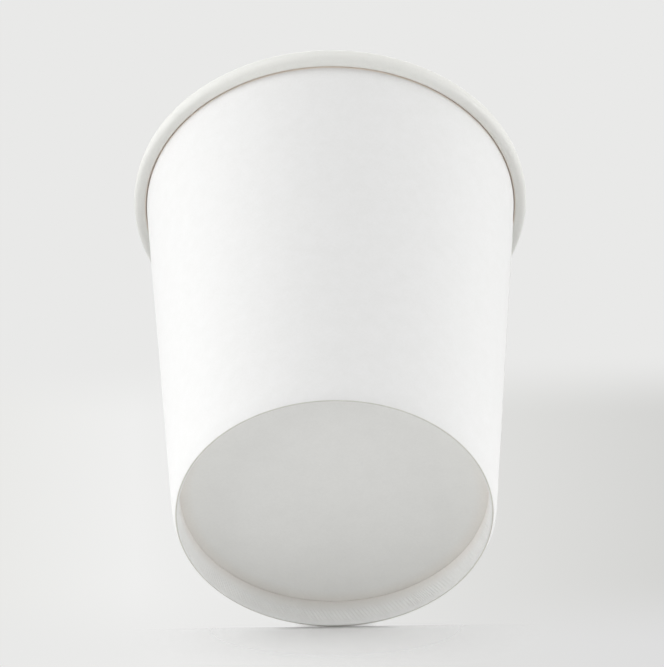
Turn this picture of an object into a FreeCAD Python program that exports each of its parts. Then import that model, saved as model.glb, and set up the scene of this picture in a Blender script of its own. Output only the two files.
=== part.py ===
"""Paper soup container: a rolled and seamed paperboard wall with a pressed paperboard bottom.

The container stands upright on its folded foot, mouth up along +Z, with the origin at the
centre of the foot plane. Lengths are millimetres, angles are degrees.

The wall is one blank. Its section runs from the cut edge of the hem, down the hem, round the
foot, up the cone and over into the rolled rim, and is revolved whole. The lap seam, where the
two straight ends of the blank cross, is added as a raised strip outside and a step inside.
"""

import FreeCAD, Part
import math
import os

import Sketcher

SIZES = (
    ("rim_diameter", 117.0, "outside of the rolled rim"),
    ("foot_diameter", 90.6, "outside of the cone, carried down to the foot plane"),
    ("overall_height", 134.7, "foot plane to the top of the roll"),
    ("wall_board", 0.5, "thickness of the wall's board"),
    ("roll_width", 4.1, "rolled rim, inside to outside"),
    ("roll_straight", 0.8, "straight stretch on the outside of the roll"),
    ("tuck_radius", 1.0, "bend that turns the roll up beside the wall"),
    ("roll_gap", 0.06, "air between the wall and the board tucked in beside it"),
    ("fold_radius", 0.8, "outside radius of the foot fold, on the wall's side"),
    ("hem_fold_radius", 0.3, "outside radius of the foot fold, on the hem's side"),
    ("hem_gap", 0.55, "hem's cut edge below the underside of the bottom"),
    ("hem_lean", 2.9, "hem's lean towards the axis"),
    ("bottom_board", 0.45, "thickness of the bottom's board"),
    ("bottom_height", 9.0, "underside of the bottom above the foot plane"),
    ("bend_radius", 0.35, "inside radius of the bottom's bend"),
    ("flange_foot", 0.9, "lower edge of the bottom's flange above the foot plane"),
    ("seal_gap", 0.03, "clearance each side of the flange"),
    ("seam_offset", 5.5, "outer cut edge of the lap from the XZ plane"),
    ("seam_lap", 7.5, "width of the lap"),
    ("seam_ramp", 3.5, "width over which the outer layer comes down to the wall"),
    ("seam_step", 0.3, "height of the lap's pressed edge"),
    ("seam_foot", 0.9, "lower end of the raised lap above the foot plane"),
    ("seam_rim_gap", 0.2, "raised lap's upper end below the roll"),
)
SHEET_NAME = "Sizes"
RISE = "BoardSection.Constraints.rise"
SEAM_BITE = 0.1
ROLL_CHORDS = (8, 3, 3)
ROLL_BACK_CHORDS = (4, 2, 1)
FOLD_CHORDS = 3
HEM_FOLD_CHORDS = 2
BEND_CHORDS = 2
BEND_BACK_CHORDS = 1
START, END, CENTRE = 1, 2, 3
X_AXIS, Y_AXIS = -1, -2
ORIGIN = (-1, 1)


def make_sheet(document):
    """Spreadsheet with one row per size: what it is, its value and its alias."""
    sheet = document.addObject("Spreadsheet::Sheet", SHEET_NAME)
    for row, (name, value, meaning) in enumerate(SIZES, start=1):
        sheet.set(f"A{row}", meaning)
        sheet.set(f"B{row}", str(value))
        sheet.setAlias(f"B{row}", name)
    document.recompute()
    return sheet


def make_body(document, label):
    """Empty PartDesign body whose label names its file."""
    body = document.addObject("PartDesign::Body", label)
    body.Label = label
    return body


def origin_plane(body, role):
    """Origin plane of a body, such as XY_Plane."""
    return next(item for item in body.Origin.OriginFeatures if item.Role == role)


def make_sketch(body, name, role):
    """Sketch on one of the body's own origin planes."""
    sketch = body.newObject("Sketcher::SketchObject", name)
    sketch.AttachmentSupport = (origin_plane(body, role), [""])
    sketch.MapMode = "FlatFace"
    return sketch


def point(x, y):
    return FreeCAD.Vector(x, y, 0)


def polar(centre, radius, angle):
    """Point at a distance from a centre, in the direction of an angle in degrees."""
    turn = math.radians(angle)
    return (centre[0] + radius * math.cos(turn), centre[1] + radius * math.sin(turn))


def add_line(sketch, start, end):
    return sketch.addGeometry(Part.LineSegment(point(*start), point(*end)), False)


def make_arc(centre, radius, start_angle, end_angle):
    """Arc drawn anticlockwise between two angles in degrees."""
    circle = Part.Circle(point(*centre), FreeCAD.Vector(0, 0, 1), radius)
    return Part.ArcOfCircle(circle, math.radians(start_angle), math.radians(end_angle))


def add_arc(sketch, *shape):
    return sketch.addGeometry(make_arc(*shape), False)


def add_bend(sketch, centre, radius, start_angle, end_angle, chords):
    """Construction arc with equal chords standing on it, and the arc's number.

    The chords are what the revolution sweeps. Their rings keep the model light, and at these
    counts they stay within about 0.1 mm of the arc outside and inside the board.
    """
    bend = sketch.addGeometry(make_arc(centre, radius, start_angle, end_angle), True)
    turn = (end_angle - start_angle) / chords
    ends = [polar(centre, radius, start_angle + turn * index) for index in range(chords + 1)]
    lines = [add_line(sketch, first, second) for first, second in zip(ends, ends[1:])]
    constrain(sketch, "Coincident", lines[0], START, bend, START)
    constrain(sketch, "Coincident", lines[-1], END, bend, END)
    for first, second in zip(lines, lines[1:]):
        constrain(sketch, "Coincident", first, END, second, START)
        constrain(sketch, "PointOnObject", first, END, bend)
        constrain(sketch, "Equal", first, second)
    return bend


def constrain(sketch, *arguments):
    return sketch.addConstraint(Sketcher.Constraint(*arguments))


def drive(sketch, name, formula, *arguments):
    """Dimension bound to the sheet. The last argument is its starting value."""
    index = constrain(sketch, *arguments)
    sketch.renameConstraint(index, name)
    sketch.setExpression(f"Constraints.{name}", formula)


def join_smoothly(sketch, pairs):
    """Tangent joints between ends of neighbouring lines and arcs."""
    for first, first_end, second, second_end in pairs:
        constrain(sketch, "Tangent", first, first_end, second, second_end)


def join(sketch, pairs):
    """Plain corners between ends of neighbouring lines and arcs."""
    for first, first_end, second, second_end in pairs:
        constrain(sketch, "Coincident", first, first_end, second, second_end)


def wall_lean(sheet):
    """Angle of the cone from vertical: the line from the foot that meets the roll tangentially."""
    roll_radius = sheet.roll_width / 2
    across = sheet.rim_diameter / 2 - roll_radius - sheet.foot_diameter / 2
    up = sheet.overall_height - roll_radius
    reach = math.acos((roll_radius - sheet.wall_board) / math.hypot(across, up))
    return math.degrees(reach) - math.degrees(math.atan2(up, across))


def board_section(body, sheet):
    """Closed section of the wall's board, from the hem's cut edge to the end of the roll."""
    sketch = make_sketch(body, "BoardSection", "XZ_Plane")
    board = sheet.wall_board
    lean = wall_lean(sheet)
    slope = math.tan(math.radians(lean))
    stretch = 1 / math.cos(math.radians(lean))
    foot_radius = sheet.foot_diameter / 2
    rim_radius = sheet.rim_diameter / 2
    roll_radius = sheet.roll_width / 2
    top = (rim_radius - roll_radius, sheet.overall_height - roll_radius)
    low = (top[0], top[1] - sheet.roll_straight)
    tuck_height = low[1] - roll_radius + sheet.tuck_radius
    outward = 180 - lean

    def outside(height, depth=0.0):
        """Point on the cone's outer face, or at a depth behind it."""
        return (foot_radius + height * slope - depth * stretch, height)

    tuck = outside(tuck_height, -(sheet.roll_gap + sheet.tuck_radius))

    def turn_of_board(inset, chords):
        """One face of the roll, from the cone's top to the board's end, at an inset."""
        over = add_bend(sketch, top, roll_radius - inset, 0, outward, chords[0])
        down = add_bend(sketch, low, roll_radius - inset, -90, 0, chords[1])
        back = add_bend(sketch, tuck, sheet.tuck_radius - inset, outward, 270, chords[2])
        side = add_line(sketch, polar(top, roll_radius - inset, 0), polar(low, roll_radius - inset, 0))
        under = add_line(
            sketch,
            polar(low, roll_radius - inset, -90),
            polar(tuck, sheet.tuck_radius - inset, -90),
        )
        join_smoothly(
            sketch,
            (
                (over, START, side, START),
                (side, END, down, END),
                (down, START, under, START),
                (under, END, back, END),
            ),
        )
        return over, side, down, under, back

    over, side, down, under, back = turn_of_board(0.0, ROLL_CHORDS)
    over_back, _, down_back, _, back_back = turn_of_board(board, ROLL_BACK_CHORDS)

    fold = sheet.fold_radius
    hem_angle = math.radians(sheet.hem_lean)
    slot = sheet.bottom_board + 2 * sheet.seal_gap
    foot_centre = outside(fold, fold)
    corner = outside(board, board)
    crease = outside(board, board + slot)
    hem_height = sheet.bottom_height - sheet.hem_gap
    hem_back = polar(crease, (hem_height - board) / math.cos(hem_angle), 90 + sheet.hem_lean)
    hem_edge = polar(hem_back, board, 180 + sheet.hem_lean)
    hem_round = sheet.hem_fold_radius
    hem_centre = (crease[0] - board + hem_round, hem_round)

    foot_out = add_bend(sketch, foot_centre, fold, 270, 360 - lean, FOLD_CHORDS)
    foot_in = add_bend(sketch, hem_centre, hem_round, 180 + sheet.hem_lean, 270, HEM_FOLD_CHORDS)
    wall_out = add_line(sketch, polar(top, roll_radius - board, outward), polar(foot_centre, fold, -lean))
    foot_flat = add_line(sketch, (foot_centre[0], 0), (hem_centre[0], 0))
    hem_face = add_line(sketch, polar(hem_centre, hem_round, 180 + sheet.hem_lean), hem_edge)
    hem_cut = add_line(sketch, hem_edge, hem_back)
    hem_rear = add_line(sketch, hem_back, crease)
    fold_floor = add_line(sketch, crease, corner)
    wall_in = add_line(sketch, corner, polar(top, roll_radius, outward))
    board_end = add_line(
        sketch,
        polar(tuck, sheet.tuck_radius, outward),
        polar(tuck, sheet.tuck_radius - board, outward),
    )
    foot_point = sketch.addGeometry(Part.Point(point(foot_radius, 0)), True)

    join_smoothly(
        sketch,
        (
            (over_back, END, wall_out, START),
            (wall_out, END, foot_out, END),
            (foot_out, START, foot_flat, START),
            (foot_flat, END, foot_in, END),
            (foot_in, START, hem_face, START),
            (wall_in, END, over, END),
        ),
    )
    join(
        sketch,
        (
            (back, START, board_end, START),
            (board_end, END, back_back, START),
            (hem_face, END, hem_cut, START),
            (hem_cut, END, hem_rear, START),
            (hem_rear, END, fold_floor, START),
            (fold_floor, END, wall_in, START),
        ),
    )

    roll_formula = "Sizes.roll_width / 2"
    top_formula = "Sizes.overall_height - Sizes.roll_width / 2"
    constrain(sketch, "Vertical", side)
    constrain(sketch, "Horizontal", under)
    constrain(sketch, "Parallel", wall_in, wall_out)
    constrain(sketch, "Perpendicular", board_end, wall_out)
    constrain(sketch, "PointOnObject", back, CENTRE, board_end)
    drive(sketch, "rim_radius", "Sizes.rim_diameter / 2", "DistanceX", *ORIGIN, side, START, rim_radius)
    drive(sketch, "roll_centre", top_formula, "DistanceY", *ORIGIN, over, CENTRE, top[1])
    drive(sketch, "roll_over", roll_formula, "Radius", over, roll_radius)
    drive(sketch, "roll_down", roll_formula, "Radius", down, roll_radius)
    drive(sketch, "roll_side", "Sizes.roll_straight", "Distance", side, sheet.roll_straight)
    drive(sketch, "roll_tuck", "Sizes.tuck_radius", "Radius", back, sheet.tuck_radius)
    drive(sketch, "tuck_gap", "Sizes.roll_gap", "Distance", back, START, wall_out, sheet.roll_gap)
    backs = (
        (over, over_back, "roll_over_back", roll_formula, roll_radius),
        (down, down_back, "roll_down_back", roll_formula, roll_radius),
        (back, back_back, "roll_tuck_back", "Sizes.tuck_radius", sheet.tuck_radius),
    )
    for face, other, name, formula, radius in backs:
        constrain(sketch, "Coincident", other, CENTRE, face, CENTRE)
        drive(sketch, name, f"{formula} - Sizes.wall_board", "Radius", other, radius - board)

    foot_formula = "Sizes.foot_diameter / 2"
    slot_formula = "Sizes.bottom_board + 2 * Sizes.seal_gap"
    hem_formula = "Sizes.bottom_height - Sizes.hem_gap"
    hem_turn = math.radians(90 + sheet.hem_lean)
    lean_formula = "(90 + Sizes.hem_lean) * 1 deg"
    constrain(sketch, "PointOnObject", foot_point, START, X_AXIS)
    constrain(sketch, "PointOnObject", foot_point, START, wall_out)
    constrain(sketch, "PointOnObject", foot_flat, START, X_AXIS)
    constrain(sketch, "Horizontal", foot_flat)
    constrain(sketch, "Horizontal", fold_floor)
    constrain(sketch, "Perpendicular", hem_cut, hem_face)
    constrain(sketch, "Parallel", hem_rear, hem_face)
    drive(sketch, "foot_radius", foot_formula, "DistanceX", *ORIGIN, foot_point, START, foot_radius)
    drive(sketch, "foot_fold", "Sizes.fold_radius", "Radius", foot_out, fold)
    drive(sketch, "foot_board", "Sizes.wall_board", "DistanceY", *ORIGIN, fold_floor, START, board)
    drive(sketch, "flange_slot", slot_formula, "Distance", fold_floor, START, wall_in, slot)
    drive(sketch, "hem_fold", "Sizes.hem_fold_radius", "Radius", foot_in, hem_round)
    drive(sketch, "hem_angle", lean_formula, "Angle", X_AXIS, START, hem_face, START, hem_turn)
    drive(sketch, "hem_board", "Sizes.wall_board", "Distance", hem_cut, board)
    drive(sketch, "hem_top", hem_formula, "DistanceY", *ORIGIN, hem_face, END, hem_edge[1])

    rise = constrain(sketch, "Angle", X_AXIS, START, wall_in, START, math.radians(90 - lean))
    sketch.renameConstraint(rise, "rise")
    sketch.setDriving(rise, False)
    return sketch


def revolve(body, sketch, name):
    """Full turn of a section about the vertical axis."""
    feature = body.newObject("PartDesign::Revolution", name)
    feature.Profile = sketch
    feature.ReferenceAxis = (sketch, ["V_Axis"])
    feature.Angle = 360
    return feature


def seam_section(body, sheet, name, height, height_formula, inside):
    """Plan of the lap at one height: the raised outer layer, or the step inside the wall.

    Both start at a cut edge parallel to the XZ plane and fade out along the ramp.
    """
    sketch = make_sketch(body, name, "XY_Plane")
    sketch.AttachmentOffset = FreeCAD.Placement(FreeCAD.Vector(0, 0, height), FreeCAD.Rotation())
    sketch.setExpression("AttachmentOffset.Base.z", height_formula)
    lean = math.radians(wall_lean(sheet))
    depth = sheet.wall_board / math.cos(lean) if inside else 0.0
    face = sheet.foot_diameter / 2 + height * math.tan(lean) - depth
    face_formula = f"Sizes.foot_diameter / 2 + ({height_formula}) / tan({RISE})"
    if inside:
        face_formula += f" - Sizes.wall_board / sin({RISE})"
    raised = face + sheet.seam_step
    buried = face - SEAM_BITE
    edge = sheet.seam_offset + (sheet.seam_lap if inside else 0.0)
    lap_end = sheet.seam_offset + sheet.seam_lap
    fade = lap_end + sheet.seam_ramp

    def on_circle(radius, y):
        return (math.sqrt(radius**2 - y**2), y)

    def angle(radius, y):
        return math.degrees(math.asin(y / radius))

    step = add_line(sketch, on_circle(buried, edge), on_circle(raised, edge))
    ramp = add_line(sketch, on_circle(raised, lap_end), on_circle(buried, fade))
    base = add_arc(sketch, (0, 0), buried, angle(buried, edge), angle(buried, fade))
    constrain(sketch, "Coincident", base, CENTRE, *ORIGIN)
    if inside:
        corners = ((step, END, ramp, START), (ramp, END, base, END), (base, START, step, START))
    else:
        lap = add_arc(sketch, (0, 0), raised, angle(raised, edge), angle(raised, lap_end))
        constrain(sketch, "Coincident", lap, CENTRE, *ORIGIN)
        corners = (
            (step, END, lap, START),
            (lap, END, ramp, START),
            (ramp, END, base, END),
            (base, START, step, START),
        )
        lap_formula = "Sizes.seam_offset + Sizes.seam_lap"
        drive(sketch, "lap_end", lap_formula, "DistanceY", *ORIGIN, ramp, START, lap_end)
    join(sketch, corners)
    constrain(sketch, "Horizontal", step)
    edge_formula = "Sizes.seam_offset" + (" + Sizes.seam_lap" if inside else "")
    drive(sketch, "cut_edge", edge_formula, "DistanceY", *ORIGIN, step, START, edge)
    drive(
        sketch,
        "fade_end",
        "Sizes.seam_offset + Sizes.seam_lap + Sizes.seam_ramp",
        "DistanceY",
        *ORIGIN,
        ramp,
        END,
        fade,
    )
    drive(sketch, "buried", f"{face_formula} - {SEAM_BITE}", "Radius", base, buried)
    if inside:
        raised_corner = on_circle(raised, edge)[0]
        raised_formula = f"sqrt(({face_formula} + Sizes.seam_step) ^ 2 - ({edge_formula}) ^ 2)"
        drive(sketch, "raised", raised_formula, "DistanceX", *ORIGIN, step, END, raised_corner)
    else:
        drive(sketch, "raised", f"{face_formula} + Sizes.seam_step", "Radius", lap, raised)
    return sketch


def loft(body, kind, name, lower, upper):
    """Straight loft between two plans of the lap."""
    feature = body.newObject(kind, name)
    feature.Profile = lower
    feature.Sections = [upper]
    feature.Ruled = True
    return feature


def make_sidewall(document, sheet):
    """The wall blank: revolved section, raised lap outside, lap step inside."""
    body = make_body(document, "sidewall")
    section = board_section(body, sheet)
    revolve(body, section, "RolledBoard")
    document.recompute()
    roll_height = sheet.roll_width + sheet.roll_straight
    low = sheet.seam_foot
    high = sheet.overall_height - roll_height - sheet.seam_rim_gap
    high_formula = (
        "Sizes.overall_height - Sizes.roll_width - Sizes.roll_straight - Sizes.seam_rim_gap"
    )
    outer_low = seam_section(body, sheet, "LapFoot", low, "Sizes.seam_foot", False)
    outer_high = seam_section(body, sheet, "LapTop", high, high_formula, False)
    loft(body, "PartDesign::AdditiveLoft", "Lap", outer_low, outer_high)
    document.recompute()
    floor = sheet.bottom_height + sheet.bottom_board + sheet.seam_step
    floor_formula = "Sizes.bottom_height + Sizes.bottom_board + Sizes.seam_step"
    inner_low = seam_section(body, sheet, "StepFloor", floor, floor_formula, True)
    inner_high = seam_section(body, sheet, "StepTop", high, high_formula, True)
    loft(body, "PartDesign::SubtractiveLoft", "LapStep", inner_low, inner_high)
    document.recompute()
    return body


def make_bottom(document, sheet):
    """The bottom: a flat disc whose edge is bent down into a flange that the hem holds."""
    body = make_body(document, "bottom")
    sketch = make_sketch(body, "BottomSection", "XZ_Plane")
    board = sheet.bottom_board
    bend = sheet.bend_radius
    lean = wall_lean(sheet)
    turn = math.radians(lean)
    wall_depth = (sheet.wall_board + sheet.seal_gap) / math.cos(turn)
    seat = sheet.foot_diameter / 2 - wall_depth
    centre_y = sheet.bottom_height - bend
    centre_x = seat + centre_y * math.tan(turn) - (bend + board) / math.cos(turn)

    def flange_point(height, inset):
        return (seat + height * math.tan(turn) - inset / math.cos(turn), height)

    centre = (centre_x, centre_y)
    underside = add_line(sketch, (0, sheet.bottom_height), (centre_x, sheet.bottom_height))
    bend_in = add_bend(sketch, centre, bend, -lean, 90, BEND_BACK_CHORDS)
    flange_in = add_line(sketch, polar(centre, bend, -lean), flange_point(sheet.flange_foot, board))
    flange_edge = add_line(
        sketch, flange_point(sheet.flange_foot, board), flange_point(sheet.flange_foot, 0)
    )
    flange_out = add_line(
        sketch, flange_point(sheet.flange_foot, 0), polar(centre, bend + board, -lean)
    )
    bend_out = add_bend(sketch, centre, bend + board, -lean, 90, BEND_CHORDS)
    topside = add_line(
        sketch, (centre_x, sheet.bottom_height + board), (0, sheet.bottom_height + board)
    )
    axis = add_line(sketch, (0, sheet.bottom_height + board), (0, sheet.bottom_height))
    seat_point = sketch.addGeometry(Part.Point(point(seat, 0)), True)
    join_smoothly(
        sketch,
        (
            (underside, END, bend_in, END),
            (bend_in, START, flange_in, START),
            (flange_out, END, bend_out, START),
            (bend_out, END, topside, START),
        ),
    )
    join(
        sketch,
        (
            (flange_in, END, flange_edge, START),
            (flange_edge, END, flange_out, START),
            (topside, END, axis, START),
            (axis, END, underside, START),
        ),
    )
    constrain(sketch, "Horizontal", underside)
    constrain(sketch, "Horizontal", topside)
    constrain(sketch, "Horizontal", flange_edge)
    constrain(sketch, "Parallel", flange_in, flange_out)
    constrain(sketch, "PointOnObject", underside, START, Y_AXIS)
    constrain(sketch, "PointOnObject", topside, END, Y_AXIS)
    constrain(sketch, "Coincident", bend_in, CENTRE, bend_out, CENTRE)
    drive(
        sketch, "floor", "Sizes.bottom_height", "DistanceY", *ORIGIN, underside, END, sheet.bottom_height
    )
    drive(sketch, "bend", "Sizes.bend_radius", "Radius", bend_in, bend)
    drive(
        sketch, "bend_back", "Sizes.bend_radius + Sizes.bottom_board", "Radius", bend_out, bend + board
    )
    drive(
        sketch, "edge", "Sizes.flange_foot", "DistanceY", *ORIGIN, flange_edge, START, sheet.flange_foot
    )
    drive(
        sketch,
        "seat",
        f"Sizes.foot_diameter / 2 - (Sizes.wall_board + Sizes.seal_gap) / sin({RISE})",
        "DistanceX",
        *ORIGIN,
        seat_point,
        START,
        seat,
    )
    constrain(sketch, "PointOnObject", seat_point, START, X_AXIS)
    constrain(sketch, "PointOnObject", seat_point, START, flange_out)
    drive(
        sketch,
        "flange_lean",
        RISE,
        "Angle",
        X_AXIS,
        START,
        flange_out,
        START,
        math.radians(90 - lean),
    )
    revolve(body, sketch, "Disc")
    document.recompute()
    return body


def check(document, bodies):
    """Stops before anything is written if a feature failed or a piece is not one sound solid."""
    for item in document.Objects:
        if "Invalid" in item.State or "Error" in item.State:
            raise RuntimeError(f"{item.Label} did not build: {item.State}")
    for body in bodies:
        shape = body.Shape
        if shape.isNull() or not shape.isValid() or len(shape.Solids) != 1:
            raise RuntimeError(f"{body.Label} is not one valid solid")


def main():
    """Builds both pieces and writes one STEP file for each."""
    document = FreeCAD.newDocument("SoupContainer")
    sheet = make_sheet(document)
    bodies = [make_sidewall(document, sheet), make_bottom(document, sheet)]
    document.recompute()
    check(document, bodies)
    os.makedirs("parts", exist_ok=True)
    for body in bodies:
        body.Shape.exportStep(f"parts/{body.Label}.step")
        box = body.Shape.BoundBox
        print(f"{body.Label}: volume {body.Shape.Volume:.1f}, z {box.ZMin:.3f} to {box.ZMax:.3f}")


main()
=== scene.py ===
"""Looks of the paper soup container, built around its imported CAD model.

Every object is in metres in the model's own frame: +Z is the container's axis, z = 0 is the plane
that the foot stands on, and the side seam is on the +X side. Sizes in the classes are millimetres
and degrees, and a place in a section is a radius from the axis and a height.
"""

import logging
import math
from dataclasses import dataclass, field
from enum import IntEnum

import bpy
import numpy as np
from mathutils import Matrix, Vector


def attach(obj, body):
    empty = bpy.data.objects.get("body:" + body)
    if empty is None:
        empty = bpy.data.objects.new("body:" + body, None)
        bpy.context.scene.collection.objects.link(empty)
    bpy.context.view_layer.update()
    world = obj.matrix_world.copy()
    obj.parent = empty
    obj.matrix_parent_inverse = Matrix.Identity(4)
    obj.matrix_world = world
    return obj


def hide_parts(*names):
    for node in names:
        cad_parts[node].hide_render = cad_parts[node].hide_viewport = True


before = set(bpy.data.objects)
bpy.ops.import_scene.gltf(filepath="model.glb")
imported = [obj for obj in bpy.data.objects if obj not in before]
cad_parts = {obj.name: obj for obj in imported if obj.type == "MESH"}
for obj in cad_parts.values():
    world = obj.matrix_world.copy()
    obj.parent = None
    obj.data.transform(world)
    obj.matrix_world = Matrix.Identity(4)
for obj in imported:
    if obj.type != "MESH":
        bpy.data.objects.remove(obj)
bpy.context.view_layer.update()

LOG = logging.getLogger("paper_soup_container")
MM = 0.001
BODY = "root"
SHARP_ANGLE = math.radians(38.0)
WALL_LEAN = 4.13759

Span = tuple[float, float]
Place = tuple[float, float]
Point = tuple[float, float, float]
Colour = tuple[float, float, float, float]
Tree = bpy.types.NodeTree
Socket = bpy.types.NodeSocket

WHITE = (1.0, 1.0, 1.0, 1.0)


class Face(IntEnum):
    """The faces of a board, which are also the material places of its mesh."""

    OUTER = 0
    FOOD = 1
    EDGE = 2
    HEM = 3


class Zone(IntEnum):
    """Stretches of a section by what shapes them beside turning: seam, grooves, dish or nothing."""

    PLAIN = 0
    OUTSIDE = 1
    INSIDE = 2
    HEM_REAR = 3
    HEM_TOP = 4
    GROOVES = 5
    FLAT = 6


# ---------------------------------------------------------------- colours and node helpers


def linear(hex_colour: str) -> Colour:
    """Turns an sRGB hex colour to linear light.

    Args:
        hex_colour: Six hex digits after a hash.

    Returns:
        Red, green, blue and an alpha of 1.
    """
    parts = [int(hex_colour[i : i + 2], 16) / 255.0 for i in (1, 3, 5)]
    red, green, blue = (c / 12.92 if c <= 0.04045 else ((c + 0.055) / 1.055) ** 2.4 for c in parts)
    return (red, green, blue, 1.0)


def add_node(
    tree: Tree, kind: str, inputs: dict[str | int, object] | None = None, **settings: object
) -> bpy.types.Node:
    """Adds a node, sets its properties, and links or sets its inputs.

    Args:
        tree: The node tree that gets the node.
        kind: The node's type name.
        inputs: For each input socket, the socket that feeds it or its constant.
        settings: Properties of the node itself.

    Returns:
        The new node.
    """
    node = tree.nodes.new(kind)
    for name, value in settings.items():
        setattr(node, name, value)
    for socket, given in (inputs or {}).items():
        if isinstance(given, Socket):
            tree.links.new(given, node.inputs[socket])
        else:
            node.inputs[socket].default_value = given
    return node


def radius_and_height(tree: Tree, place: Socket) -> Socket:
    """Turns a place into its radius from the Z axis and its height: (root of x^2 + y^2, z, 0).

    Args:
        tree: The material's node tree.
        place: Object coordinates.

    Returns:
        The new vector.
    """
    parts = add_node(tree, "ShaderNodeSeparateXYZ", {0: place}).outputs
    level = add_node(tree, "ShaderNodeCombineXYZ", {0: parts["X"], 1: parts["Y"]}).outputs[0]
    radius = add_node(tree, "ShaderNodeVectorMath", {0: level}, operation="LENGTH").outputs["Value"]
    return add_node(tree, "ShaderNodeCombineXYZ", {0: radius, 1: parts["Z"]}).outputs[0]


def new_material(name: str) -> tuple[bpy.types.Material, Tree]:
    """Makes an empty node material.

    Args:
        name: The material's name.

    Returns:
        The material and its tree.
    """
    material = bpy.data.materials.new(name)
    material.use_nodes = True
    material.node_tree.nodes.clear()
    return material, material.node_tree


# ---------------------------------------------------------------- finishes


# Most ring marks are painted shade: in the hem's corner, in the crevice under the roll, and the table's
# contact shadow.
@dataclass(frozen=True)
class RingMark:
    """A soft ring of another tone round the Z axis: full on its line, gone at its reach."""

    radius: float
    height: float
    full: float
    reach: float
    share: float
    tone: str

    def over(self, tree: Tree, point: Socket, colour: Socket | Colour) -> Socket:
        """Lays the mark over a colour by the distance from its line.

        Args:
            tree: The material's node tree.
            point: Radius and height of the shaded point, as X and Y of a vector.
            colour: The colour under the mark.

        Returns:
            The marked colour.
        """
        line = (self.radius * MM, self.height * MM, 0.0)
        away = add_node(tree, "ShaderNodeVectorMath", {0: point, 1: line}, operation="DISTANCE")
        share = add_node(
            tree,
            "ShaderNodeMapRange",
            {
                "Value": away.outputs["Value"],
                "From Min": self.full * MM,
                "From Max": self.reach * MM,
                "To Min": self.share,
                "To Max": 0.0,
            },
        )
        tones = {0: share.outputs["Result"], 6: colour, 7: linear(self.tone)}
        return add_node(tree, "ShaderNodeMix", tones, data_type="RGBA").outputs[2]


# A thin olive grey line on the crest of the fold that the foot stands on.
FOOT_CREASE = RingMark(radius=44.37, height=-0.02, full=0.06, reach=0.3, share=0.75, tone="#c6c4b6")
# Painted shade: a soft warm brown darkening of the hem in the corner where it meets the bottom, even all
# round the ring.
HEM_CORNER_PAINTED_SHADE = RingMark(radius=43.35, height=8.95, full=0.0, reach=4.5, share=0.13, tone="#bd9468")
# The same painted corner shade on the bottom's side of that corner, weaker than on the hem.
BOTTOM_CORNER_PAINTED_SHADE = RingMark(radius=43.35, height=8.95, full=0.0, reach=4.0, share=0.1, tone="#d9b78f")
# Painted shade: a thin warm line on the wall and the roll in the gap under the roll, beside its tucked
# cut edge.
ROLL_CREVICE_PAINTED_SHADE = RingMark(radius=54.85, height=130.4, full=0.3, reach=0.8, share=0.85, tone="#f3e9df")


@dataclass(frozen=True)
class BoardFinish:
    """Bleached cup stock with a thin polyethylene skin, or its bare cut edge.

    The pulp lies in faint clouds, the formation, and fibres show through the skin as a fine tooth.
    Both shift the tone by a few levels at most, and the tooth breaks the sheen up. Single fibres
    are some hundredths of a millimetre wide, so the tooth is drawn coarser, as it needs to show.
    """

    name: str
    tone: str
    cloud_tone: str
    cloud_mm: float
    tooth_mm: float
    tooth_depth_mm: float
    roughness: float
    ior: float = 1.5
    marks: tuple[RingMark, ...] = ()
    cloud_share: float = 0.4
    roughness_spread: float = 0.06

    def material(self) -> bpy.types.Material:
        """Builds the node material.

        Returns:
            A principled material: clouded colour, uneven roughness and a fibre bump.
        """
        material, tree = new_material(self.name)
        place = add_node(tree, "ShaderNodeTexCoord").outputs["Object"]
        clouds = add_node(
            tree,
            "ShaderNodeTexNoise",
            {"Vector": place, "Scale": 1.0 / (self.cloud_mm * MM), "Detail": 3.0, "Roughness": 0.55},
        ).outputs["Fac"]
        tooth = add_node(
            tree,
            "ShaderNodeTexNoise",
            {"Vector": place, "Scale": 1.0 / (self.tooth_mm * MM), "Detail": 4.0, "Roughness": 0.6},
        ).outputs["Fac"]
        sheen = add_node(
            tree,
            "ShaderNodeMapRange",
            {
                "Value": clouds,
                "To Min": self.roughness - self.roughness_spread,
                "To Max": self.roughness + self.roughness_spread,
            },
        )
        relief = {"Height": tooth, "Strength": 1.0, "Distance": self.tooth_depth_mm * MM}
        bump = add_node(tree, "ShaderNodeBump", relief)
        shader = add_node(
            tree,
            "ShaderNodeBsdfPrincipled",
            {
                "Base Color": self.colour(tree, place, clouds, tooth),
                "Roughness": sheen.outputs["Result"],
                "Normal": bump.outputs["Normal"],
                "IOR": self.ior,
            },
        )
        add_node(tree, "ShaderNodeOutputMaterial", {"Surface": shader.outputs["BSDF"]})
        return material

    def colour(self, tree: Tree, place: Socket, clouds: Socket, tooth: Socket) -> Socket:
        """Mixes the two tones by a share of the clouds plus the rest of the tooth, under the marks.

        Args:
            tree: The material's node tree.
            place: Object coordinates.
            clouds: Strength of the clouds.
            tooth: Strength of the tooth.

        Returns:
            The colour.
        """
        part = {0: clouds, 1: self.cloud_share}
        cloud_part = add_node(tree, "ShaderNodeMath", part, operation="MULTIPLY").outputs[0]
        whole = {0: tooth, 1: 1.0 - self.cloud_share, 2: cloud_part}
        formation = add_node(tree, "ShaderNodeMath", whole, operation="MULTIPLY_ADD").outputs[0]
        tones = {0: formation, 6: linear(self.tone), 7: linear(self.cloud_tone)}
        colour = add_node(tree, "ShaderNodeMix", tones, data_type="RGBA").outputs[2]
        if self.marks:
            point = radius_and_height(tree, place)
            for mark in self.marks:
                colour = mark.over(tree, point, colour)
        return colour


# Cup stock, outside: bleached pulp board under a matt film, even and dry, with hardly any sheen.
WALL_OUTSIDE = BoardFinish(
    name="matt_coated_cup_stock_outside",
    tone="#f8f8f8",
    cloud_tone="#ebebe9",
    cloud_mm=4.0,
    tooth_mm=0.6,
    tooth_depth_mm=0.012,
    roughness=0.62,
    marks=(FOOT_CREASE, ROLL_CREVICE_PAINTED_SHADE),
)
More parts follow.
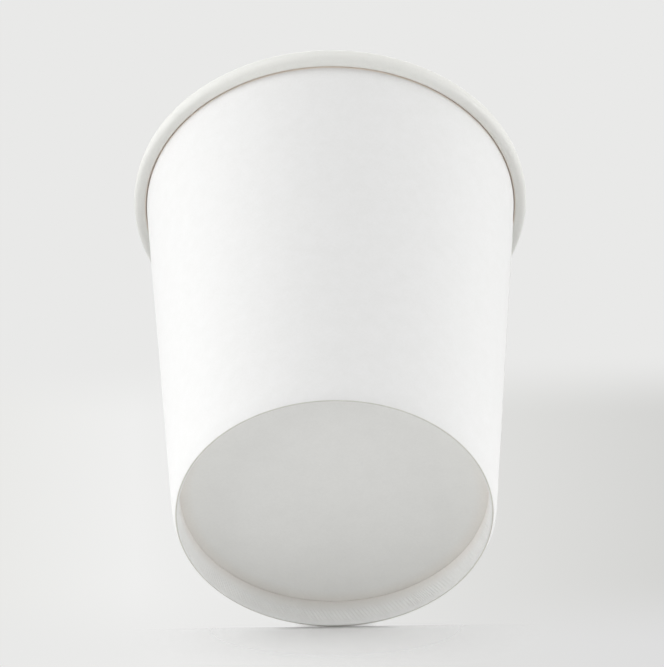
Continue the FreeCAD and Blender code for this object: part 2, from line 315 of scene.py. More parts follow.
# The same side turned in and knurled: its film is pressed into the board, so it looks as dry.
HEM_FACE = BoardFinish(
    name="knurled_cup_stock_hem_face",
    tone="#f7f7f6",
    cloud_tone="#ececea",
    cloud_mm=4.0,
    tooth_mm=0.6,
    tooth_depth_mm=0.012,
    roughness=0.62,
    marks=(FOOT_CREASE, HEM_CORNER_PAINTED_SHADE),
)
# The same board's food side: a thicker, smoother film gives the roll a soft, broad sheen.
WALL_FOOD_SIDE = BoardFinish(
    name="satin_coated_cup_stock_food_side",
    tone="#f6f6f2",
    cloud_tone="#ebebe6",
    cloud_mm=4.0,
    tooth_mm=0.6,
    tooth_depth_mm=0.008,
    roughness=0.46,
    marks=(ROLL_CREVICE_PAINTED_SHADE,),
)
# Cut edge of cup stock: open fibre without film, warmer than the faces, drawn as a cream line.
RAW_EDGE = BoardFinish(
    name="raw_cut_edge_of_cup_stock",
    tone="#e6dccb",
    cloud_tone="#d9ccb6",
    cloud_mm=0.8,
    tooth_mm=0.12,
    tooth_depth_mm=0.05,
    roughness=0.9,
    ior=1.45,
)
# Bottom stock, underside: the same pulp, calendered harder, so it looks flat and quiet.
BOTTOM_UNDERSIDE = BoardFinish(
    name="calendered_bottom_stock_underside",
    tone="#f9f9f6",
    cloud_tone="#ebebe8",
    cloud_mm=6.0,
    tooth_mm=0.7,
    tooth_depth_mm=0.012,
    roughness=0.6,
    marks=(BOTTOM_CORNER_PAINTED_SHADE,),
)
# Bottom stock, food side: filmed as the wall's inside is.
BOTTOM_FOOD_SIDE = BoardFinish(
    name="satin_coated_bottom_stock_food_side",
    tone="#f1f1ec",
    cloud_tone="#eeeee8",
    cloud_mm=5.0,
    tooth_mm=0.45,
    tooth_depth_mm=0.008,
    roughness=0.46,
)


# ---------------------------------------------------------------- curves of a section


def polar(centre: Place, radius: float, angle: float) -> Place:
    """Place at a distance from a centre, in the direction of an angle in degrees."""
    turn = math.radians(angle)
    return (centre[0] + radius * math.cos(turn), centre[1] + radius * math.sin(turn))


def even(count: int) -> np.ndarray:
    """Equal shares of a run, from 0 up to but not including 1."""
    return np.arange(count) / count


def ring_angles(count: int) -> np.ndarray:
    """Even angles round a ring, in radians."""
    return 2.0 * np.pi * np.arange(count) / count


def crowded(count: int, gather: float = 0.9) -> np.ndarray:
    """Shares that crowd towards both ends: t less gather times sin(2 pi t) / (2 pi)."""
    t = even(count)
    return t - gather * np.sin(2.0 * np.pi * t) / (2.0 * np.pi)


def straight(start: Place, end: Place, shares: np.ndarray) -> np.ndarray:
    """Points of a straight run: start plus each share of the way to end.

    Args:
        start: Place where the run begins.
        end: Place where it ends.
        shares: Shares of the way, from 0 up to but not including 1.

    Returns:
        One row of radius and height for each share.
    """
    a, b = np.asarray(start), np.asarray(end)
    return a + shares[:, None] * (b - a)


def arc(centre: Place, radius: float, first: float, last: float, count: int) -> np.ndarray:
    """Points of an arc: centre plus radius times (cos a, sin a), for a in equal steps.

    Args:
        centre: The arc's centre.
        radius: The arc's own radius.
        first: Angle of the first point in degrees.
        last: Angle of the arc's end in degrees, whose point the next run brings.
        count: Number of points.

    Returns:
        One row of radius and height for each point.
    """
    a = np.radians(first + (last - first) * even(count))
    return np.asarray(centre) + radius * np.stack([np.cos(a), np.sin(a)], axis=1)


def soft_bend(start: Place, corner: Place, end: Place, count: int) -> np.ndarray:
    """Points of a soft bend: (1 - t)^2 start + 2 t (1 - t) corner + t^2 end, for t in equal steps.

    Args:
        start: Place where the bend leaves its first tangent.
        corner: Place where the two tangents meet.
        end: Place where it comes to its second tangent, whose point the next run brings.
        count: Number of points.

    Returns:
        One row of radius and height for each point.
    """
    t = even(count)[:, None]
    ends = (1.0 - t) ** 2 * np.asarray(start) + t**2 * np.asarray(end)
    return ends + 2.0 * t * (1.0 - t) * np.asarray(corner)


@dataclass
class Section:
    """A closed section of a turned piece, run by run, anticlockwise in radius and height."""

    points: list[np.ndarray] = field(default_factory=list)
    faces: list[np.ndarray] = field(default_factory=list)
    zones: list[np.ndarray] = field(default_factory=list)

    def add(self, run: np.ndarray, face: Face, zone: Zone = Zone.PLAIN) -> None:
        """Adds a run of points to the section.

        Args:
            run: Radius and height of each point.
            face: The face that the run belongs to.
            zone: The zone that it lies in.
        """
        self.points.append(run)
        self.faces.append(np.full(len(run), int(face)))
        self.zones.append(np.full(len(run), int(zone)))

    def joined(self) -> tuple[np.ndarray, np.ndarray, np.ndarray]:
        """All points, the face of each span after a point, and each point's zone."""
        return np.concatenate(self.points), np.concatenate(self.faces), np.concatenate(self.zones)


def ring_quads(rows: np.ndarray, columns: int) -> np.ndarray:
    """Quads between successive rows of a grid that closes round its columns.

    The corners of a quad are (row, column), (row, next column), (next row, next column) and
    (next row, column), which faces outwards where the rows climb an outer wall.

    Args:
        rows: Index of each row's first vertex, in order.
        columns: Number of vertices in a row.

    Returns:
        Vertex indices, four for each quad.
    """
    here = np.arange(columns)
    after = (here + 1) % columns
    low, high = rows[:-1, None], rows[1:, None]
    quads = np.stack([low + here, low + after, high + after, high + here], axis=-1)
    return quads.reshape(-1, 4)


def sheet_quads(rows: int, columns: int) -> np.ndarray:
    """Quads of an open grid of points that lie row by row.

    Args:
        rows: Number of rows.
        columns: Number of points in a row.

    Returns:
        Vertex indices, four for each quad.
    """
    here = np.arange(rows - 1)[:, None] * columns + np.arange(columns - 1)
    quads = np.stack([here, here + columns, here + columns + 1, here + 1], axis=-1)
    return quads.reshape(-1, 4)


def mesh_object(
    name: str,
    points: np.ndarray,
    faces: list[np.ndarray],
    places: list[np.ndarray],
    materials: list[bpy.types.Material],
) -> bpy.types.Object:
    """Puts arrays into a smooth mesh with sharp creases, on an object at the origin.

    Args:
        name: The object's name.
        points: Vertices in millimetres.
        faces: Arrays of vertex indices, with the same number of corners all through an array.
        places: The material place of each face, in arrays as faces is.
        materials: The materials in the order of the places.

    Returns:
        The new object.
    """
    mesh = bpy.data.meshes.new(name)
    corners = np.concatenate([f.ravel() for f in faces]).astype(np.int32)
    sizes = np.concatenate([np.full(len(f), f.shape[1]) for f in faces])
    starts = np.concatenate([[0], np.cumsum(sizes)[:-1]]).astype(np.int32)
    mesh.vertices.add(len(points))
    mesh.vertices.foreach_set("co", (points * MM).astype(np.float32).ravel())
    mesh.loops.add(len(corners))
    mesh.loops.foreach_set("vertex_index", corners)
    mesh.polygons.add(len(sizes))
    mesh.polygons.foreach_set("loop_start", starts)
    for material in materials:
        mesh.materials.append(material)
    mesh.polygons.foreach_set("material_index", np.concatenate(places).astype(np.int32))
    mesh.update(calc_edges=True)
    mesh.validate()
    mesh.shade_smooth()
    mesh.set_sharp_from_angle(angle=SHARP_ANGLE)
    made = bpy.data.objects.new(name, mesh)
    bpy.context.scene.collection.objects.link(made)
    return made


# ---------------------------------------------------------------- the sidewall


@dataclass
class Sidewall:
    """The wall blank: a cone of board, lapped at the side, rolled at the rim and hemmed at the foot.

    Names in out lie on the wall's outside, and names in in on its food side. The roll bends about
    two centres, top and low, and its end is tucked in about a third. The fold and the hem are the
    outer and the inner turn of the foot.
    """

    lean: float = WALL_LEAN
    board: float = 0.5
    foot_out: Place = (45.665, 5.05)
    foot_bend: Place = (45.485, 2.557)
    shoulder_out: Place = (54.904, 132.762)
    foot_in: Place = (45.016, 3.0)
    shoulder_in: Place = (54.405, 132.798)
    fold_centre: Place = (44.33, 0.32)
    fold_radius: float = 0.32
    fold_lean: float = 20.0
    roll_top: Place = (56.45, 132.65)
    roll_low: Place = (56.45, 131.85)
    roll_radius: float = 2.03
    tuck_centre: Place = (55.825, 130.8)
    tuck_radius: float = 0.98
    hem_centre: Place = (44.133, 0.3)
    hem_radius: float = 0.3
    hem_lean: float = 2.9
    hem_foot_height: float = 0.285
    hem_face_top: Place = (43.396, 8.920)
    hem_rear_top: Place = (43.896, 8.945)
    hem_rear_foot: Place = (44.324, 0.5)
    hem_top_shares: tuple[float, ...] = (0.0, 0.03, 0.10)
    columns: int = 480
    in_line_full: float = 25.0
    in_line_end: float = 60.0
    seam_edge: float = 5.5
    seam_inner_edge: float = 13.0
    seam_end: float = 16.5
    seam_step: float = 0.3
    seam_foot: float = 0.9
    seam_inner_foot: float = 9.75
    seam_top: float = 129.6
    seam_fade: float = 0.6
    cut_width: float = 0.03
    grooves: int = 240
    groove_columns: int = 4
    groove_rows: int = 14
    groove_depth: float = 0.11
    groove_foot: float = 0.9
    groove_top: float = 6.4
    groove_fade: float = 0.9
    groove_slant: float = 30.0

    def section(self) -> Section:
        """Lays out the closed section of the board.

        It climbs the outside of the wall, runs round the inside of the roll to its tucked cut
        edge, comes back over the roll and down the food side, and turns through the hem.

        Returns:
            The section, whose zones say where seam and grooves act.
        """
        section = Section()
        self.add_outside(section)
        self.add_roll(section)
        self.add_hem(section)
        return section

    def add_outside(self, section: Section) -> None:
        """Adds the outer side: the foot's fold, then the wall up to the roll.

        Args:
            section: The section that gets the runs.
        """
        inner, fold = self.hem_centre, self.fold_centre
        tip = polar(fold, self.fold_radius, -self.fold_lean)
        section.add(straight((inner[0], 0.0), (fold[0], 0.0), even(2)), Face.OUTER)
        section.add(arc(fold, self.fold_radius, 270.0, 360.0 - self.fold_lean, 8), Face.OUTER)
        section.add(soft_bend(tip, self.foot_bend, self.foot_out, 10), Face.OUTER, Zone.OUTSIDE)
        section.add(straight(self.foot_out, self.shoulder_out, crowded(20)), Face.OUTER, Zone.OUTSIDE)

    def add_roll(self, section: Section) -> None:
        """Adds the roll: its inside down to the tucked cut edge, that edge, and its outside back up.

        Args:
            section: The section that gets the runs.
        """
        up = 180.0 - self.lean
        top, low, tuck = self.roll_top, self.roll_low, self.tuck_centre
        roll_in, tuck_in = self.roll_radius - self.board, self.tuck_radius - self.board
        section.add(arc(top, roll_in, up, 0.0, 8), Face.OUTER)
        section.add(arc(low, roll_in, 0.0, -90.0, 4), Face.OUTER)
        section.add(arc(tuck, tuck_in, 270.0, up, 4), Face.OUTER)
        edge = straight(polar(tuck, tuck_in, up), polar(tuck, self.tuck_radius, up), even(1))
        section.add(edge, Face.EDGE)
        section.add(arc(tuck, self.tuck_radius, up, 270.0, 9), Face.FOOD)
        section.add(arc(low, self.roll_radius, 270.0, 360.0, 14), Face.FOOD)
        section.add(arc(top, self.roll_radius, 0.0, up, 28), Face.FOOD)

    def add_hem(self, section: Section) -> None:
        """Adds the food side from the roll down, up the hem's rear to its cut edge, and down its face.

        Args:
            section: The section that gets the runs.
        """
        rear_foot, rear_top, top = self.hem_rear_foot, self.hem_rear_top, self.hem_face_top
        lean = math.radians(self.hem_lean)
        foot = (self.hem_centre[0] - self.hem_radius * math.cos(lean), self.hem_foot_height)
        span = top[1] - foot[1]
        first, last = (top[1] - self.groove_top) / span, (top[1] - self.groove_foot) / span
        pressed = first + (last - first) * np.linspace(0.0, 1.0, self.groove_rows)
        section.add(straight(self.shoulder_in, self.foot_in, crowded(18)), Face.FOOD, Zone.INSIDE)
        section.add(straight(self.foot_in, rear_foot, even(2)), Face.FOOD)
        section.add(straight(rear_foot, rear_top, even(4)), Face.FOOD, Zone.HEM_REAR)
        section.add(straight(rear_top, top, even(1)), Face.EDGE, Zone.HEM_TOP)
        section.add(straight(top, foot, np.array(self.hem_top_shares)), Face.HEM, Zone.HEM_TOP)
        section.add(straight(top, foot, pressed), Face.HEM, Zone.GROOVES)
        section.add(arc(self.hem_centre, self.hem_radius, 180.0 + self.hem_lean, 270.0, 5), Face.HEM)

    def column_angles(self) -> np.ndarray:
        """Angles of the columns at the reference radius, which is the shoulder's.

        Even steps round the ring, with a close pair at each cut edge of the seam.

        Returns:
            Angles in radians, from the seam's side round to where they started.
        """
        reference = self.shoulder_out[0]
        steps = ring_angles(self.columns)
        half = 0.5 * self.cut_width / reference
        for edge in (self.seam_edge, self.seam_inner_edge):
            at = math.asin(edge / reference)
            nearest = int(np.argmin(np.abs(steps - at)))
            steps[nearest] = at - half
            steps = np.insert(steps, nearest + 1, at + half)
        return np.sort(steps)

    def turned(self, angles: np.ndarray, radius: np.ndarray) -> np.ndarray:
        """Carries the columns down the cone so that those of the seam stay in line.

        Near the seam a column keeps its distance y from the X axis, so its angle is
        asin(y / radius). The share of that falls smoothly to nothing between two angles, beyond
        which the columns keep their own.

        Args:
            angles: Reference angles of the columns.
            radius: Radius of each row.

        Returns:
            An angle for each row and column.
        """
        full, end = math.radians(self.in_line_full), math.radians(self.in_line_end)
        signed = np.where(angles > np.pi, angles - 2.0 * np.pi, angles)
        reach = np.clip((end - np.abs(signed)) / (end - full), 0.0, 1.0)
        share = reach * reach * (3.0 - 2.0 * reach)
        y = self.shoulder_out[0] * np.sin(np.clip(signed, -end, end))
        in_line = np.arcsin(np.clip(y / radius[:, None], -1.0, 1.0))
        return angles + share * (in_line - signed)

    def seam_rise(self, y: np.ndarray, x: np.ndarray, z: np.ndarray, inside: bool) -> np.ndarray:
        """How far the seam lifts a face of the wall from the plain cone.

        Outside, the lap stands a step high from its cut edge to the inner cut edge and falls
        evenly to nothing at the seam's end. Inside, the face is one step out at the inner cut edge
        and comes back by the seam's end. Both fade over a short length at the top and the foot.

        Args:
            y: Distance of each point from the X axis.
            x: Place of each point along the X axis.
            z: Height of each point.
            inside: True for the food side.

        Returns:
            Outward shift of each point.
        """
        foot = self.seam_inner_foot if inside else self.seam_foot
        start = self.seam_inner_edge if inside else self.seam_edge
        fall = (self.seam_end - y) / (self.seam_end - self.seam_inner_edge)
        lift = np.where((y > start) & (x > 0.0), np.clip(fall, 0.0, 1.0), 0.0)
        from_foot = np.clip((z - foot) / self.seam_fade, 0.0, 1.0)
        from_top = np.clip((self.seam_top - z) / self.seam_fade, 0.0, 1.0)
        return self.seam_step * lift * from_foot * from_top

    def slants(self, rows: np.ndarray, zones: np.ndarray) -> np.ndarray:
        """How far each row turns against the columns, so that the columns run with the grooves.

        The turn grows with height in the grooves, stays whole over the hem's top and grows evenly
        up its rear. Elsewhere it is nothing.

        Args:
            rows: Radius and height of each row.
            zones: Zone of each row.

        Returns:
            Angles in radians.
        """
        slope = math.tan(math.radians(self.groove_slant)) / self.hem_face_top[0]
        whole = slope * (self.groove_top - self.groove_foot)
        pressed, rear = zones == Zone.GROOVES, zones == Zone.HEM_REAR
        slant = np.where(pressed, slope * (rows[:, 1] - self.groove_foot), 0.0)
        slant[zones == Zone.HEM_TOP] = whole
        slant[rear] = whole * even(int(rear.sum()))
        return slant

    def grid(
        self, rows: np.ndarray, zones: np.ndarray, angles: np.ndarray, slant: np.ndarray
    ) -> np.ndarray:
        """Turns rows of the section into points.

        A point is (r cos a, r sin a, z), with a the column's angle plus the row's slant, and r the
        row's radius plus the seam's rise and the depth of a groove times (1 + cos(count a)) / 2.

        Args:
            rows: Radius and height of each row.
            zones: Zone of each row.
            angles: Reference angles of the columns.
            slant: Turn of each row against the columns.

        Returns:
            Points in millimetres, row by row.
        """
        radius, height = rows[:, 0], rows[:, 1]
        turn = self.turned(angles, radius) + slant[:, None]
        z = np.broadcast_to(height[:, None], turn.shape)
        y = radius[:, None] * np.sin(turn)
        x = radius[:, None] * np.cos(turn)
        r = np.broadcast_to(radius[:, None], turn.shape).copy()
        for zone, inside in ((Zone.OUTSIDE, False), (Zone.INSIDE, True)):
            r += np.where((zones == zone)[:, None], self.seam_rise(y, x, z, inside), 0.0)
        reach = np.minimum(height - self.groove_foot, self.groove_top - height) / self.groove_fade
        depth = np.where(zones == Zone.GROOVES, np.clip(reach, 0.0, 1.0), 0.0) * self.groove_depth
        r += depth[:, None] * 0.5 * (1.0 + np.cos(self.grooves * angles[None, :]))
        return np.stack([r * np.cos(turn), r * np.sin(turn), z], axis=-1).reshape(-1, 3)

    def build(self, materials: list[bpy.types.Material]) -> bpy.types.Object:
        """Builds the sidewall.

        The section is turned on an even grid. The hem's pressed grooves have columns four times as
        close, slanted with the grooves, and one ring of wider faces joins them above and below.

        Args:
            materials: Outside, food side, cut edge and hem face.

        Returns:
            The finished piece.
        """
        rows, faces, zones = self.section().joined()
        slant = self.slants(rows, zones)
        coarse = self.column_angles()
        widths = np.diff(np.append(coarse, coarse[0] + 2.0 * np.pi))
        fine = (coarse[:, None] + widths[:, None] * even(self.groove_columns)).ravel()
        pressed = np.flatnonzero(zones == Zone.GROOVES)
        plain = np.concatenate([np.arange(pressed[-1] + 1, len(rows)), np.arange(pressed[0])])
        points = [
            self.grid(rows[part], zones[part], angles, slant[part])
            for part, angles in ((plain, coarse), (pressed, fine))
        ]
        starts = np.arange(len(plain)) * len(coarse)
        fine_starts = len(points[0]) + np.arange(len(pressed)) * len(fine)
        here = np.arange(len(coarse))
        after = (here + 1) % len(coarse)
        low, high = starts[0], starts[-1]
        fan = (here[:, None] * self.groove_columns + np.arange(self.groove_columns + 1)) % len(fine)
        above = np.column_stack([high + here, high + after, (fine_starts[0] + fan)[:, ::-1]])
        below = np.column_stack([fine_starts[-1] + fan, low + after, low + here])
        polygons = [ring_quads(starts, len(coarse)), ring_quads(fine_starts, len(fine)), above, below]
        places = [np.repeat(faces[plain][:-1], len(coarse))]
        places += [np.full(len(part), int(Face.HEM)) for part in polygons[1:]]
        return mesh_object("sidewall_board", np.concatenate(points), polygons, places, materials)


# ---------------------------------------------------------------- the bottom


@dataclass
class Bottom:
    """The bottom blank: a round of board with its rim folded down into the hem.

    The flange is given by its inner and outer corners, at its top and its foot.
    """

    lean: float = WALL_LEAN
    board: float = 0.45
    underside: float = 9.0
    bend_centre: Place = (44.592, 8.65)
    bend_inner: float = 0.35
    flange_in_top: Place = (44.941, 8.625)
    flange_in_foot: Place = (44.535, 3.0)
    flange_out_foot: Place = (44.986, 3.0)
    flange_out_top: Place = (45.390, 8.592)
    ring_shares: tuple[float, ...] = (0.0, 0.03, *np.linspace(0.08, 0.94, 20), 0.97, 0.985, 0.995)
    columns: int = 240
    puckers: int = 76
    pucker_depth: float = 0.035
    pucker_start: float = 0.93
    pucker_run: float = 0.05
    pucker_beat: float = 7.0
    pucker_phase: float = 0.6
    dish: float = 0.12

    def section(self) -> Section:
        """Lays out the section, from the centre of the underside to the centre of the food side.

        Returns:
            The section.
        """
        section = Section()
        shares = np.array(self.ring_shares)
        bend, low, high = self.bend_centre, self.underside, self.underside + self.board
        in_top, in_foot = self.flange_in_top, self.flange_in_foot
        out_foot, out_top = self.flange_out_foot, self.flange_out_top
        topside = straight((0.0, high), (bend[0], high), shares)[::-1]
        section.add(straight((0.0, low), (bend[0], low), shares), Face.OUTER, Zone.FLAT)
        section.add(arc(bend, self.bend_inner, 90.0, -self.lean, 5), Face.OUTER)
        section.add(straight(in_top, in_foot, crowded(6)), Face.OUTER)
        section.add(straight(in_foot, out_foot, even(1)), Face.EDGE)
        section.add(straight(out_foot, out_top, crowded(6)), Face.FOOD)
        section.add(arc(bend, self.bend_inner + self.board, -self.lean, 90.0, 9), Face.FOOD)
        section.add(topside, Face.FOOD, Zone.FLAT)
        return section

    def build(self, materials: list[bpy.types.Material]) -> bpy.types.Object:
        """Builds the bottom.

        A point is (r cos a, r sin a, z), and the two centres are single points. The round is
        dished by a hair: z falls by dish times (1 - share^2)^2, with share the part of the way to
        the bend. Near the bend it has the shallow puckers that the press leaves: z falls by depth
        times (1 + cos(count a) cos(beat a + phase)) / 2.

        Args:
            materials: Underside, food side and cut edge.

        Returns:
            The finished piece.
        """
        rows, faces, zones = self.section().joined()
        angles = ring_angles(self.columns)
        radius, height = rows[1:-1, 0], rows[1:-1, 1]
        r = np.broadcast_to(radius[:, None], (len(radius), self.columns))
        flat = zones[1:-1] == Zone.FLAT
        share = radius / self.bend_centre[0]
        sag = np.where(flat, -self.dish * np.clip(1.0 - share**2, 0.0, 1.0) ** 2, 0.0)
        near = np.clip((share - self.pucker_start) / self.pucker_run, 0.0, 1.0)
        depth = self.pucker_depth * np.where(flat, near, 0.0)
        beat = np.cos(self.pucker_beat * angles + self.pucker_phase)
        wave = np.cos(self.puckers * angles) * beat
        z = (height + sag)[:, None] - depth[:, None] * (0.5 + 0.5 * wave)
        ring = np.stack([r * np.cos(angles), r * np.sin(angles), z], axis=-1).reshape(-1, 3)
        centres = np.array([[0.0, 0.0, rows[end, 1] - self.dish] for end in (0, -1)])
        starts = np.arange(len(radius)) * self.columns
        here = np.arange(self.columns)
        after = (here + 1) % self.columns
        last = starts[-1]
        low = np.column_stack([np.full(self.columns, len(ring)), after, here])
        high = np.column_stack([np.full(self.columns, len(ring) + 1), last + here, last + after])
        polygons = [ring_quads(starts, self.columns), low, high]
        places = [np.repeat(faces[1:-2], self.columns)]
        places += [np.full(self.columns, int(face)) for face in (Face.OUTER, Face.FOOD)]
        points = np.concatenate([ring, centres])
        return mesh_object("bottom_board", points, polygons, places, materials)


# ---------------------------------------------------------------- stage, light and camera


@dataclass(frozen=True)
class Lamp:
    """A soft box: a square area lamp that faces the container, with its power in watts."""

    name: str
    place: Point
    power: float
    side: float = 1500.0
    target: Point = (0.0, 0.0, 60.0)

    def build(self) -> bpy.types.Object:
        """Adds the lamp, unseen by the camera.

        Returns:
            The lamp's object.
        """
        data = bpy.data.lights.new(self.name, "AREA")
        data.shape = "SQUARE"
        data.size = self.side * MM
        data.energy = self.power
        lamp = bpy.data.objects.new(self.name, data)
        lamp.location = Vector(self.place) * MM
        away = Vector(self.place) - Vector(self.target)
        lamp.rotation_euler = away.to_track_quat("Z", "Y").to_euler()
        lamp.visible_camera = False
        bpy.context.scene.collection.objects.link(lamp)
        return lamp


def end_in_paper(tree: Tree, colour: Socket | Colour, hidden: Socket) -> None:
    """Ends a material in matt paper that rays pass through by a share.

    Args:
        tree: The material's node tree.
        colour: The paper's colour.
        hidden: The share: 0 shows the paper and 1 nothing of it.
    """
    paper = add_node(tree, "ShaderNodeBsdfDiffuse", {"Color": colour}).outputs[0]
    clear = add_node(tree, "ShaderNodeBsdfTransparent").outputs[0]
    both = add_node(tree, "ShaderNodeMixShader", {0: hidden, 1: paper, 2: clear}).outputs[0]
    add_node(tree, "ShaderNodeOutputMaterial", {"Surface": both})


def leave_light_alone(sheet: bpy.types.Object) -> None:
    """Keeps a sheet that the camera sees from shading or lighting anything else.

    Args:
        sheet: The sheet.
    """
    sheet.visible_diffuse = False
    sheet.visible_glossy = False
    sheet.visible_shadow = False


@dataclass
class Studio:
    """The pale floor, the paper that the tipped view rests on, the backdrop, lamps and camera.

    The light's turn, the half view and the rises measure directions and have no unit.
    """

    light_above: float = 0.765
    light_below: float = 0.15
    light_turn: float = 0.25
    backdrop_tone: str = "#e9e9e8"
    half_view: float = 0.0644
    # Painted light and shadow on the far table paper: a brighter patch left of the container stands for
    # light it throws back, and the darkening to the right is its painted shadow.
    far_tones: tuple[tuple[float, str], ...] = (
        (0.0, "#eaeae8"),
        (0.2, "#efefee"),
        (0.8, "#dcdcda"),
        (1.0, "#d5d5d3"),
    )
    # The same painted shadow on the nearer table paper: darker to the right.
    near_tones: tuple[tuple[float, str], ...] = (
        (0.0, "#e9e9e8"),
        (0.25, "#ebebea"),
        (0.7, "#e0e0df"),
        (1.0, "#dedede"),
    )
    far_rises: Span = (0.955, 0.985)
    wall_rises: Span = (1.045, 1.072)
    low_rises: Span = (0.92, 0.86)
    least_onward: float = 0.01
    floor_tone: str = "#d4d4d4"
    floor_radii: tuple[float, ...] = (44.45, 60.0, 90.0, 150.0, 400.0, 1200.0, 3000.0)
    floor_columns: int = 256
    floor_fade: Span = (250.0, 1100.0)
    table_tone: str = "#ececec"
    table_edge: float = 44.49
    table_drop: float = 0.02
    table_tip: float = 57.2
    table_reach: float = 6000.0
    table_shares: tuple[float, ...] = (0.03, 0.1, 1.0)
    table_fade: Span = (0.0, 60.0)
    table_fade_power: float = 0.65
    # Painted contact shadow: the table's paper darkens to a dark grey close to where the foot touches
    # it.
    table_painted_contact_shadow: RingMark = RingMark(
        radius=44.5, height=0.1, full=0.8, reach=3.2, share=0.7, tone="#5f5c58"
    )
    gap_half_width: float = 12.0
    gap_columns: int = 25
    gap_edges: Span = (44.5, 44.62)
    gap_height: float = 0.1
    gap_fade: Span = (2.0, 12.0)
    camera_place: Point = (0.0, -1016.15, -1023.89)
    camera_pitch: float = 47.24395
    camera_roll: float = -0.76776345
    camera_clip: Span = (50.0, 20000.0)
    lens: float = 279.32
    sensor: float = 36.0
    lamps: tuple[Lamp, ...] = (
        Lamp("left_front", (-2573.0, -1156.0, -962.0), 28.0),
        Lamp("left_side", (-2971.0, -351.0, 286.0), 17.0),
        Lamp("left_high", (-1721.0, -2066.0, 1391.0), 13.0),
        Lamp("right_front", (2573.0, -1156.0, -962.0), 21.0),
        Lamp("right_side", (2971.0, -351.0, 286.0), 23.5),
        Lamp("front_high", (0.0, -2654.0, 1459.0), 4.0),
        Lamp("overhead_rear", (0.0, 900.0, 2900.0), 8.0),
    )

    def world(self) -> None:
        """Lights the part from all round, and shows a pale backdrop where a ray looks past it.

        The light's strength turns smoothly from the one below to the one above, round a level
        direction. Only soft light takes it: the camera, clear things and reflections see the
        backdrop.
        """
        world = bpy.data.worlds.new("surround")
        bpy.context.scene.world = world
        world.use_nodes = True
        tree = world.node_tree
        tree.nodes.clear()
        rays = add_node(tree, "ShaderNodeLightPath").outputs
        straight_on = {0: rays["Is Camera Ray"], 1: rays["Is Transmission Ray"]}
        looked = add_node(tree, "ShaderNodeMath", straight_on, operation="MAXIMUM").outputs[0]
        mirrored = {0: looked, 1: rays["Is Glossy Ray"]}
        seen = add_node(tree, "ShaderNodeMath", mirrored, operation="MAXIMUM").outputs[0]
        direction = add_node(tree, "ShaderNodeTexCoord").outputs["Generated"]
        parts = add_node(tree, "ShaderNodeSeparateXYZ", {0: direction})
        level = add_node(
            tree,
            "ShaderNodeMapRange",
            {
                "Value": parts.outputs["Z"],
                "From Min": -self.light_turn,
                "From Max": self.light_turn,
                "To Min": self.light_below,
                "To Max": self.light_above,
            },
            interpolation_type="SMOOTHSTEP",
        ).outputs["Result"]
        light = add_node(tree, "ShaderNodeBackground", {"Color": WHITE, "Strength": level}).outputs[0]
        look = {"Color": self.backdrop_colour(tree, parts), "Strength": 1.0}
        backdrop = add_node(tree, "ShaderNodeBackground", look).outputs[0]
        both = add_node(tree, "ShaderNodeMixShader", {0: seen, 1: light, 2: backdrop}).outputs[0]
        add_node(tree, "ShaderNodeOutputWorld", {"Surface": both})

    def backdrop_colour(self, tree: Tree, parts: bpy.types.Node) -> Socket:
        """Wall paper everywhere, but table paper behind the tipped view.

        The rise of a direction is its height over its way along +Y. The table lies in a band of
        rises, whose far end has tones of its own. It darkens towards the right, which is the
        container's painted shadow on it, and has a painted brighter patch left of the container.

        Args:
            tree: The world's node tree.
            parts: The node that gives a direction's X, Y and Z.

        Returns:
            The socket of the colour.
        """
        along = {0: parts.outputs["Y"], 1: self.least_onward}
        onward = add_node(tree, "ShaderNodeMath", along, operation="MAXIMUM").outputs[0]
        slope = {0: parts.outputs["Z"], 1: onward}
        rise = add_node(tree, "ShaderNodeMath", slope, operation="DIVIDE").outputs[0]
        view = {"Value": parts.outputs["X"], "From Min": -self.half_view, "From Max": self.half_view}
        across = add_node(tree, "ShaderNodeMapRange", view).outputs["Result"]
        ramps = []
        for tones in (self.near_tones, self.far_tones):
            ramp = add_node(tree, "ShaderNodeValToRGB", {0: across})
            for _ in tones[2:]:
                ramp.color_ramp.elements.new(0.5)
            for stop, (place, tone) in zip(ramp.color_ramp.elements, tones):
                stop.position, stop.color = place, linear(tone)
            ramps.append(ramp.outputs["Color"])
        colour, far = ramps
        wall = linear(self.backdrop_tone)
        for rises, tone in ((self.far_rises, far), (self.wall_rises, wall), (self.low_rises, wall)):
            band = {"Value": rise, "From Min": rises[0], "From Max": rises[1]}
            share = add_node(tree, "ShaderNodeMapRange", band, interpolation_type="SMOOTHSTEP")
            tones = {0: share.outputs["Result"], 6: colour, 7: tone}
            colour = add_node(tree, "ShaderNodeMix", tones, data_type="RGBA").outputs[2]
        return colour

    def floor_material(self) -> bpy.types.Material:
        """Pale matt paper, seen from above only, that fades into the backdrop far out.

        Returns:
            The material.
        """
        material, tree = new_material("matt_studio_paper")
        place = add_node(tree, "ShaderNodeTexCoord").outputs["Object"]
        away = add_node(tree, "ShaderNodeVectorMath", {0: place}, operation="LENGTH").outputs["Value"]
        start, end = self.floor_fade
        run = {"Value": away, "From Min": start * MM, "From Max": end * MM}
        fade = add_node(tree, "ShaderNodeMapRange", run, interpolation_type="SMOOTHSTEP").outputs[0]
        back = add_node(tree, "ShaderNodeNewGeometry").outputs["Backfacing"]
        hidden = add_node(tree, "ShaderNodeMath", {0: fade, 1: back}, operation="MAXIMUM").outputs[0]
        end_in_paper(tree, linear(self.floor_tone), hidden)
        return material

    def floor(self) -> None:
        """Builds a flat ring at z = 0 whose hole ends under the fold of the foot."""
        radii = np.array(self.floor_radii)
        a = ring_angles(self.floor_columns)
        x, y = radii[:, None] * np.cos(a), radii[:, None] * np.sin(a)
        points = np.stack([x, y, np.zeros_like(x)], axis=-1).reshape(-1, 3)
        quads = ring_quads(np.arange(len(radii)) * len(a), len(a))[:, ::-1]
        made = mesh_object("floor", points, [quads], [np.zeros(len(quads))], [self.floor_material()])
        leave_light_alone(made)

